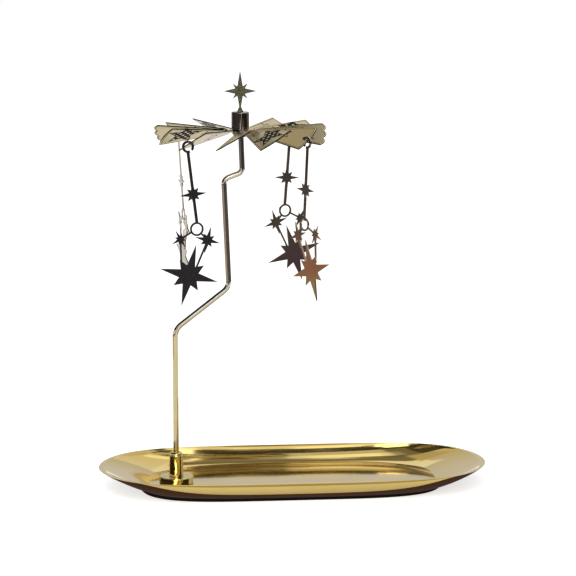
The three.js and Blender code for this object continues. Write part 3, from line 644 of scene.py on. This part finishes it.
def blade_rows(kind, tip_droop):
    """The middle of a blade's sheet in rows from the neck to the tip.

    With it come each point's place in the etched pattern and its distances from the edges. A point
    is (r, a v cos t, a v sin t - droop), with v from -1 to 1 across the blade. The twist t eases
    from 0 to the pitch along the neck. The half width a eases from the neck's to the root's, then
    grows evenly to the tip, as the droop does. Blades of kind 0 have a scalloped tip, which reaches
    out by three half sine waves.
    """
    v = np.linspace(-1, 1, blade_columns)[None, :]
    neck = np.linspace(0, 1, 13)[1:, None]
    ease = neck * neck * (3 - 2 * neck)
    flare = np.clip(2 * neck - 1, 0, 1) ** 2
    out = np.linspace(0, 1, 45)[1:, None]
    tip = tip_radius - tip_round * v ** 2
    if kind == 0:
        tip = tip + scallop * np.abs(np.sin(1.5 * np.pi * (v + 1)))
    radius = np.vstack([ring_radius + (root_radius - ring_radius) * neck + 0 * v,
                        root_radius + (tip - root_radius) * out])
    half = np.vstack([neck_half + (root_half - neck_half) * flare,
                      root_half + (tip_half - root_half) * out])
    twist = pitch * np.vstack([ease, 0 * out + 1])
    droop = tip_droop * np.maximum(0, (radius - root_radius) / (tip_radius - root_radius))
    across = half * v
    points = np.stack([radius, across * np.cos(twist), across * np.sin(twist) - droop], -1)
    edge = np.stack([half * (1 - np.abs(v)), tip - radius], -1)
    return points, np.stack([radius, across + pattern_step * kind], -1), edge


def wheel_grid():
    """Corners, faces and both sets of face corner values of the whole wheel's middle sheet.

    The ring's points are (r cos t, r sin t, 0), with t closer together at each neck, where a
    blade's rows go on from the ring's outer row.
    """
    neck_angle = np.arcsin(neck_half / ring_radius)
    step = 2 * np.pi / blades
    window = neck_angle * np.linspace(-1, 1, blade_columns)
    gap = np.linspace(neck_angle, step - neck_angle, 17)[1:-1]
    one = np.concatenate([window, gap])
    angle = (first_blade + step * np.arange(blades)[:, None] + one[None]).ravel()
    radius = np.linspace(ring_bore, ring_radius, 9)[:, None]
    points = [np.stack([radius * np.cos(angle), radius * np.sin(angle), 0 * radius * angle],
                       -1).reshape(-1, 3)]
    index = np.arange(len(points[0])).reshape(len(radius), -1)
    closed = np.hstack([index, index[:, :1]])
    quads = [np.stack([closed[:-1, :-1], closed[1:, :-1], closed[1:, 1:], closed[:-1, 1:]],
                      -1).reshape(-1, 4)]
    # The ring has no pattern: its places and edge distances are far from every star and line.
    plain = np.full((len(quads[0]), 4, 2), 30.0)
    places, edges = [plain - [0, 70]], [plain]
    for k in range(blades):
        # Three of the blades that carry a pendant droop more than the others.
        body, place, edge = blade_rows(k % 3, {5: 1.4, 8: 1.8, 11: 1.35}.get(k, 1.0))
        turn = first_blade + step * k
        spun = np.stack([body[..., 0] * np.cos(turn) - body[..., 1] * np.sin(turn),
                         body[..., 0] * np.sin(turn) + body[..., 1] * np.cos(turn),
                         body[..., 2]], -1)
        first = sum(len(p) for p in points)
        points.append(spun.reshape(-1, 3))
        root = index[-1, len(one) * k:len(one) * k + blade_columns]
        grid = np.vstack([root, first + np.arange(spun[..., 0].size).reshape(-1, blade_columns)])
        quads.append(np.stack([grid[:-1, :-1], grid[1:, :-1], grid[1:, 1:], grid[:-1, 1:]],
                              -1).reshape(-1, 4))
        for values, parts in ((place, places), (edge, edges)):
            full = np.vstack([values[:1], values])
            parts.append(np.stack([full[:-1, :-1], full[1:, :-1], full[1:, 1:], full[:-1, 1:]],
                                  2).reshape(-1, 4, 2))
    return np.vstack(points), np.vstack(quads), np.vstack(places), np.vstack(edges)


corners, quads, places, edges = wheel_grid()
mesh = bpy.data.meshes.new("etched_star_wheel")
mesh.from_pydata(((corners + [axis_x, 0, wheel_z]) * mm).tolist(), [], quads.tolist())
mesh.polygons.foreach_set("use_smooth", np.ones(len(quads), bool))
for name, values in (("pattern_place", places), ("edge_place", edges)):
    mesh.uv_layers.new(name=name).uv.foreach_set("vector", values.ravel())
wheel = bpy.data.objects.new("etched_star_wheel", mesh)
scene.collection.objects.link(wheel)
sheet = wheel.modifiers.new("sheet", "SOLIDIFY")
sheet.thickness, sheet.offset, sheet.use_even_offset = wheel_sheet * mm, 0, True


def apply_modifiers(piece):
    """The piece's mesh as its modifiers leave it, with the modifiers gone."""
    bpy.context.view_layer.update()
    done = piece.evaluated_get(bpy.context.evaluated_depsgraph_get())
    mesh = bpy.data.meshes.new_from_object(done)
    piece.modifiers.clear()
    piece.data = mesh


# Four holes near the blades' ends, for the pendants' hooks, punched straight down. Every third
# blade has one, a few degrees to one side of its middle, and each hook has a turn of its own.
pendants = 4
hook_radius, hook_to_hole, hole_radius = 32, 1.6, 1.05
punch_bottom, punch_top = 130, 150
aside = np.array([1.8, 3.1, 4.6, 3.35])
own_turn = np.array([8.1, -4.4, -11.0, -9.6])
hook_heights = [138.222, 138.154, 137.290, 137.293]
hook_azimuth = np.radians(-39.38 + 90 * np.arange(pendants) - aside)
heading = hook_azimuth + np.radians(155 + own_turn)
hooks = np.stack([axis_x + hook_radius * np.cos(hook_azimuth), hook_radius * np.sin(hook_azimuth),
                  hook_heights], -1)
spin = np.linspace(0, 2 * np.pi, 48, endpoint=False)
for k in range(pendants):
    hole = hooks[k, :2] + hook_to_hole * np.array([np.cos(heading[k]), np.sin(heading[k])])
    wall = hole + hole_radius * np.stack([np.cos(spin), np.sin(spin)], -1)
    middle = np.broadcast_to(hole, wall.shape)
    rows = np.stack([np.column_stack([ring, np.full(len(spin), z)]) for ring, z in (
        (middle, punch_bottom), (wall, punch_bottom), (wall, punch_top), (middle, punch_top))])
    punch = surface("punch", rows, None)
    punch.hide_render = True
    hit = wheel.modifiers.new("hole", "BOOLEAN")
    hit.operation, hit.solver, hit.object = "DIFFERENCE", "EXACT", punch
apply_modifiers(wheel)
for piece in [p for p in bpy.data.objects if p.name.startswith("punch")]:
    bpy.data.objects.remove(piece)

# Etched pale brass: a satin sheen with a fine grain, where the bitten lines are matt and dark.
etched, tree = new_material("etched_pale_brass")
place = add_node(tree, "ShaderNodeTexCoord").outputs["Object"]
spot = add_node(tree, "ShaderNodeUVMap", uv_map="pattern_place")
along = add_node(tree, "ShaderNodeSeparateXYZ", {0: spot}).outputs["X"]
rims = add_node(tree, "ShaderNodeUVMap", uv_map="edge_place")
rims = add_node(tree, "ShaderNodeSeparateXYZ", {0: rims}).outputs

# A fine etched line runs 0.6 mm inside each blade's edge, 0.2 mm wide, outside the necks. The etch
# also bites under the mask's rim, which leaves the sheet's edge matt and dark.
line_inset, line_half_width, line_starts, bitten_rim = 0.62, 0.11, 9.0, 0.1
nearest = add_node(tree, "ShaderNodeMath", {0: rims["X"], 1: rims["Y"]}, operation="MINIMUM")
line = add_node(tree, "ShaderNodeMath", {0: nearest, 1: line_inset, 2: line_half_width},
                operation="COMPARE")
outside = add_node(tree, "ShaderNodeMath", {0: along, 1: line_starts}, operation="GREATER_THAN")
line = add_node(tree, "ShaderNodeMath", {0: line, 1: outside}, operation="MULTIPLY")
bitten = add_node(tree, "ShaderNodeMath", {0: nearest, 1: bitten_rim}, operation="LESS_THAN")
pattern = add_node(tree, "ShaderNodeMath", {0: line, 1: bitten}, operation="MAXIMUM")


def star_at(radius, across, kind, arm, turn):
    """How far a spot lies outside a five-pointed star on the blades of one kind.

    It is negative inside. The angle round the star is folded into half a point, whose edge is one
    straight line. The distance to it is reach cos(angle - lean), less the line's own distance from
    the centre.
    """
    half_point = np.pi / 5
    valley = 0.45 * arm
    edge = np.array([valley * np.cos(half_point) - arm, valley * np.sin(half_point)])
    lean = np.arctan2(-edge[0], edge[1])
    centred = add_node(tree, "ShaderNodeMapping", {
        "Vector": spot, "Location": (radius, across + pattern_step * kind, 0),
        "Rotation": (0, 0, np.radians(turn))}, vector_type="TEXTURE")
    reach = add_node(tree, "ShaderNodeVectorMath", {0: centred}, operation="LENGTH")
    axes = add_node(tree, "ShaderNodeSeparateXYZ", {0: centred}).outputs
    angle = add_node(tree, "ShaderNodeMath", {0: axes["Y"], 1: axes["X"]}, operation="ARCTAN2")
    angle = add_node(tree, "ShaderNodeMath", {0: angle, 1: half_point}, operation="PINGPONG")
    angle = add_node(tree, "ShaderNodeMath", {0: angle, 1: lean}, operation="SUBTRACT")
    slope = add_node(tree, "ShaderNodeMath", {0: angle}, operation="COSINE")
    return add_node(tree, "ShaderNodeMath", {
        0: reach.outputs["Value"], 1: slope, 2: -arm * np.cos(lean)}, operation="MULTIPLY_ADD")


# A large star is filled with bright dots inside a dark border. They are 3 mm apart along the blade
# and across it, with one more in the middle of every four: one square cell, turned 45 degrees.
dot_step, dot_radius, border = 3, 0.548, 0.45
half_step = dot_step / np.sqrt(8)
diagonal = add_node(tree, "ShaderNodeMapping", {
    "Vector": spot, "Location": (np.sqrt(0.5), -np.sqrt(0.5), 0),
    "Rotation": (0, 0, np.radians(-45))})
cell = add_node(tree, "ShaderNodeVectorMath", {
    0: diagonal, 1: (half_step, half_step, 0), 2: (-half_step, -half_step, 0)}, operation="WRAP")
from_dot = add_node(tree, "ShaderNodeVectorMath", {0: cell}, operation="LENGTH").outputs["Value"]
dots = add_node(tree, "ShaderNodeMath", {0: from_dot, 1: dot_radius}, operation="LESS_THAN")
large = star_at(24.4, 1.3, 1, 7.8, 20)
within = add_node(tree, "ShaderNodeMath", {0: large, 1: 0.0}, operation="LESS_THAN")
core = add_node(tree, "ShaderNodeMath", {0: large, 1: -border}, operation="LESS_THAN")
bright = add_node(tree, "ShaderNodeMath", {0: dots, 1: core}, operation="MULTIPLY")
filled = add_node(tree, "ShaderNodeMath", {0: within, 1: bright}, operation="SUBTRACT")
pattern = add_node(tree, "ShaderNodeMath", {0: pattern, 1: filled}, operation="MAXIMUM")

# Smaller stars are outlines: how far out, how far across, the blades' kind, the arm, the turn.
outline_half = 0.16
for radius, across, kind, arm, turn in ((14.5, 0.2, 1, 2.6, 0), (21.5, 1.2, 0, 4.2, 36),
                                        (27.0, -3.4, 0, 2.4, 0), (20.0, 1.0, 2, 3.6, 36)):
    outline = add_node(tree, "ShaderNodeMath", {
        0: star_at(radius, across, kind, arm, turn), 1: -outline_half, 2: outline_half},
        operation="COMPARE")
    pattern = add_node(tree, "ShaderNodeMath", {0: pattern, 1: outline}, operation="MAXIMUM")

haze = add_node(tree, "ShaderNodeTexNoise", {
    "Vector": place, "Scale": 1 / (7 * mm), "Detail": 4.0})
grain = add_node(tree, "ShaderNodeTexNoise", {
    "Vector": place, "Scale": 1 / (0.35 * mm), "Detail": 2.0})
sheen = add_node(tree, "ShaderNodeMix", {
    "Factor": haze, "A": linear("#cfc3a2"), "B": linear("#c2b288")}, data_type="RGBA")
tint = add_node(tree, "ShaderNodeMix", {
    "Factor": pattern, "A": sheen.outputs["Result"], "B": linear("#1a1814")}, data_type="RGBA")
mottle = add_node(tree, "ShaderNodeMapRange", {
    "Value": grain, "To Min": 0.16, "To Max": 0.32})
rough = add_node(tree, "ShaderNodeMix", {"Factor": pattern, "A": mottle, "B": 0.6},
                 data_type="FLOAT")
faint = add_node(tree, "ShaderNodeMath", {0: grain, 1: 0.12}, operation="MULTIPLY")
deep = add_node(tree, "ShaderNodeMath", {0: pattern, 1: -1.0, 2: faint}, operation="MULTIPLY_ADD")
finish_metal(tree, tint, rough.outputs["Result"], deep, 0.5, 0.05)
wheel.data.materials.clear()
wheel.data.materials.append(etched)
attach(wheel, "wheel")
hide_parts("star_wheel")

# The finial star
# Etched from 0.6 mm sheet and tumbled, so its face is peened and catches the light in specks. Its
# foot reaches down into the cap's top.


def star_outline(x, z, arms, short, valley, valley_turn, turn):
    """Corners of an eight-pointed star as (x, z): arm, valley, short arm, valley, and round."""
    quarter = np.arange(4)[:, None] * 90.0 - turn
    angle = np.radians(quarter + np.array([[0, valley_turn, 45, 90 - valley_turn]]))
    radius = np.column_stack([arms, np.full((4, 3), [valley, short, valley])])
    return np.stack([x + radius * np.cos(angle), z + radius * np.sin(angle)], -1).reshape(-1, 2)


def plate(outline, thickness):
    """Points and faces of a flat plate: the outline's two faces and its edge, in the XZ plane."""
    count = len(outline)
    side = np.full(count, thickness / 2)
    near = np.column_stack([outline[:, 0], -side, outline[:, 1]])
    away = np.column_stack([outline[:, 0], side, outline[:, 1]])
    i = np.arange(count)
    j = (i + 1) % count
    edge = np.stack([i, i + count, j + count, j], -1)
    return np.vstack([near, away]), [i.tolist(), (i[::-1] + count).tolist(), *edge.tolist()]


def sheet_piece(name, plates, material):
    """One mesh of closed plates, side by side or overlapping."""
    first, points, faces = 0, [], []
    for corners, sides in plates:
        points.append(corners)
        faces += [[first + i for i in face] for face in sides]
        first += len(corners)
    mesh = bpy.data.meshes.new(name)
    mesh.from_pydata((np.vstack(points) * mm).tolist(), [], faces)
    mesh.materials.append(material)
    piece = bpy.data.objects.new(name, mesh)
    scene.collection.objects.link(piece)
    return piece


# The star's lower arm gives way to the foot, which widens from the neck down to the cap and reaches
# into its top.
finial_sheet = 0.6
star = star_outline(axis_x, 156.52, np.array([[6.45], [8.1], [6.45], [8.0]]), 4.2, 2.15, 30, 0)
foot = np.array([[-0.35, 150.52], [-1.25, 148.52], [-1.25, 147.62], [1.25, 147.62],
                 [1.25, 148.52], [0.35, 150.52]]) + [axis_x, 0]
outline = np.vstack([star[:12], foot, star[13:]])

# Peened nickel brass: a dull olive grey in which each small dent throws its own speck.
peened, tree = new_material("peened_nickel_brass")
place = add_node(tree, "ShaderNodeTexCoord").outputs["Object"]
specks = add_node(tree, "ShaderNodeTexVoronoi", {"Vector": place, "Scale": 1 / (0.55 * mm)})
patina = add_node(tree, "ShaderNodeTexNoise", {
    "Vector": place, "Scale": 1 / (1.2 * mm), "Detail": 5.0})
tint = add_node(tree, "ShaderNodeMix", {
    "Factor": patina, "A": linear("#62614b"), "B": linear("#7e7c64")}, data_type="RGBA")
rough = add_node(tree, "ShaderNodeMapRange", {
    "Value": patina, "To Min": 0.3, "To Max": 0.6})
finish_metal(tree, tint, rough, specks.outputs["Distance"], 0.9, 0.25)

finial = sheet_piece("star_finial", [plate(outline, finial_sheet)], peened)
bevel = finial.modifiers.new("tumbled_edges", "BEVEL")
bevel.width, bevel.segments = 0.08 * mm, 2
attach(finial, "wheel")
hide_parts("finial_star")

# The four hooked pendants
# Each is etched flat from 0.5 mm sheet: an open hook, a stem with a star on it, a ring, two small
# stars and a large one, joined by thin bars. Bright nickel over brass.
pendant_sheet = 0.5
hook_outer, hook_band = 2.4, 0.95
ring_outer, ring_band = 2.7, 0.75
stem_width, link_width = 1.15, 0.7
drop, large_arm, shoulder = 49.1, 12.0, 3
# How each one hangs, in degrees: its balance, and its own small lean in its plane and across it.
balance = 3.03
leans = [-2.0, -0.8, -1.1, 1.2]
rocks = [-0.6, 0.2, -2.6, 1.9]


def bar(start, end, width):
    """Outline of a straight bar of even width between two points."""
    start, end = np.array(start, float), np.array(end, float)
    side = np.array([-(end - start)[1], (end - start)[0]])
    side *= width / 2 / np.linalg.norm(side)
    return np.array([start + side, start - side, end - side, end + side])


def arc_band(x, z, outer, band, start, end, steps):
    """Outline of a band bent round a circle from one angle to another."""
    swing = np.radians(np.linspace(start, end, steps))[:, None]
    way = np.hstack([np.cos(swing), np.sin(swing)])
    return np.vstack([way * outer, way[::-1] * (outer - band)]) + [x, z]


# Where the stars and the ring sit from the hook's centre, across and up, as shares of the drop.
place_shares = [(0.048, -0.369), (-0.05, -0.716), (0.17, -0.727), (0.022, -1.0), (0.081, -0.639)]
stem_star, left_star, right_star, large_star, ring = drop * np.array(place_shares)
grip = ring_outer - ring_band / 2


def pendant_star(centre, arm_share, turn):
    """One of the pendant's stars, its arm a share of the largest one's."""
    arm = arm_share * large_arm
    return star_outline(*centre, np.full((4, 1), arm), 0.585 * arm, 0.33 * arm, 24, turn)


def towards(spot):
    """The point of the ring's band that faces a spot."""
    return ring + grip * (spot - ring) / np.linalg.norm(spot - ring)


outlines = [
    bar([0, hook_band / 2 - hook_outer], stem_star, stem_width),
    bar(stem_star, ring + [0, grip], stem_width),
    bar(left_star, towards(left_star), link_width),
    bar(right_star, towards(right_star), link_width),
    bar(left_star, large_star + [-shoulder, shoulder], link_width),
    bar(right_star, large_star + [shoulder, shoulder], link_width),
    arc_band(*ring, ring_outer, ring_band, 89, 271, 33),
    arc_band(*ring, ring_outer, ring_band, 269, 451, 33),
    pendant_star(stem_star, 0.46, -7),
    pendant_star(left_star, 0.33, -31),
    pendant_star(right_star, 0.445, 14),
    pendant_star(large_star, 1.0, 13.2),
]
hook = arc_band(0, 0, hook_outer, hook_band, -40, 294, 65)

# Bright nickel over brass: a warm grey mirror with faint wiping marks from top to bottom.
nickelled, tree = new_material("bright_nickel_on_brass")
place = add_node(tree, "ShaderNodeTexCoord").outputs["Object"]
haze = add_node(tree, "ShaderNodeTexNoise", {
    "Vector": place, "Scale": 1 / (5 * mm), "Detail": 4.0})
wipe = add_node(tree, "ShaderNodeMapping", {"Vector": place, "Scale": (1, 1, 0.08)})
grain = add_node(tree, "ShaderNodeTexNoise", {
    "Vector": wipe, "Scale": 1 / (0.8 * mm), "Detail": 2.0})
tint = add_node(tree, "ShaderNodeMix", {
    "Factor": haze, "A": linear("#c1b8a8"), "B": linear("#a99f90")}, data_type="RGBA")
rough = add_node(tree, "ShaderNodeMapRange", {
    "Value": haze, "To Min": 0.04, "To Max": 0.13})
finish_metal(tree, tint, rough, grain, 0.04, 0.005)

flat_pendant = sheet_piece("flat_pendant", [plate(o, pendant_sheet) for o in outlines], nickelled)
hook_plate = sheet_piece("hook_plate", [plate(hook, pendant_sheet)], nickelled)
weld = flat_pendant.modifiers.new("weld", "BOOLEAN")
weld.operation, weld.solver, weld.object, weld.use_self = "UNION", "EXACT", hook_plate, True
merge = flat_pendant.modifiers.new("merge", "WELD")
merge.merge_threshold = 0.002 * mm
apply_modifiers(flat_pendant)
flat = np.empty(3 * len(flat_pendant.data.vertices))
flat_pendant.data.vertices.foreach_get("co", flat)
flat = flat.reshape(-1, 3)
bpy.data.objects.remove(hook_plate)

# Each is leaned in its own plane, rocked across it, turned to its heading and hung in its hole.
for k in range(pendants):
    lean, rock = np.radians(balance - leans[k]), np.radians(rocks[k])
    x = flat[:, 0] * np.cos(lean) + flat[:, 2] * np.sin(lean)
    down = flat[:, 2] * np.cos(lean) - flat[:, 0] * np.sin(lean)
    y = flat[:, 1] * np.cos(rock) + down * np.sin(rock)
    z = down * np.cos(rock) - flat[:, 1] * np.sin(rock)
    cosine, sine = np.cos(heading[k]), np.sin(heading[k])
    hung = np.stack([x * cosine - y * sine, x * sine + y * cosine, z], -1) + hooks[k] * mm
    mesh = flat_pendant.data.copy()
    mesh.vertices.foreach_set("co", hung.ravel())
    mesh.update()
    pendant = bpy.data.objects.new(f"hung_stars_{k + 1}", mesh)
    scene.collection.objects.link(pendant)
    bevel = pendant.modifiers.new("etched_edges", "BEVEL")
    bevel.width, bevel.segments, bevel.limit_method = 0.05 * mm, 2, "ANGLE"
    bevel.angle_limit = np.radians(50)
    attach(pendant, f"pendant_{k + 1}")
    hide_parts(f"star_pendant_{k + 1}")
bpy.data.objects.remove(flat_pendant)
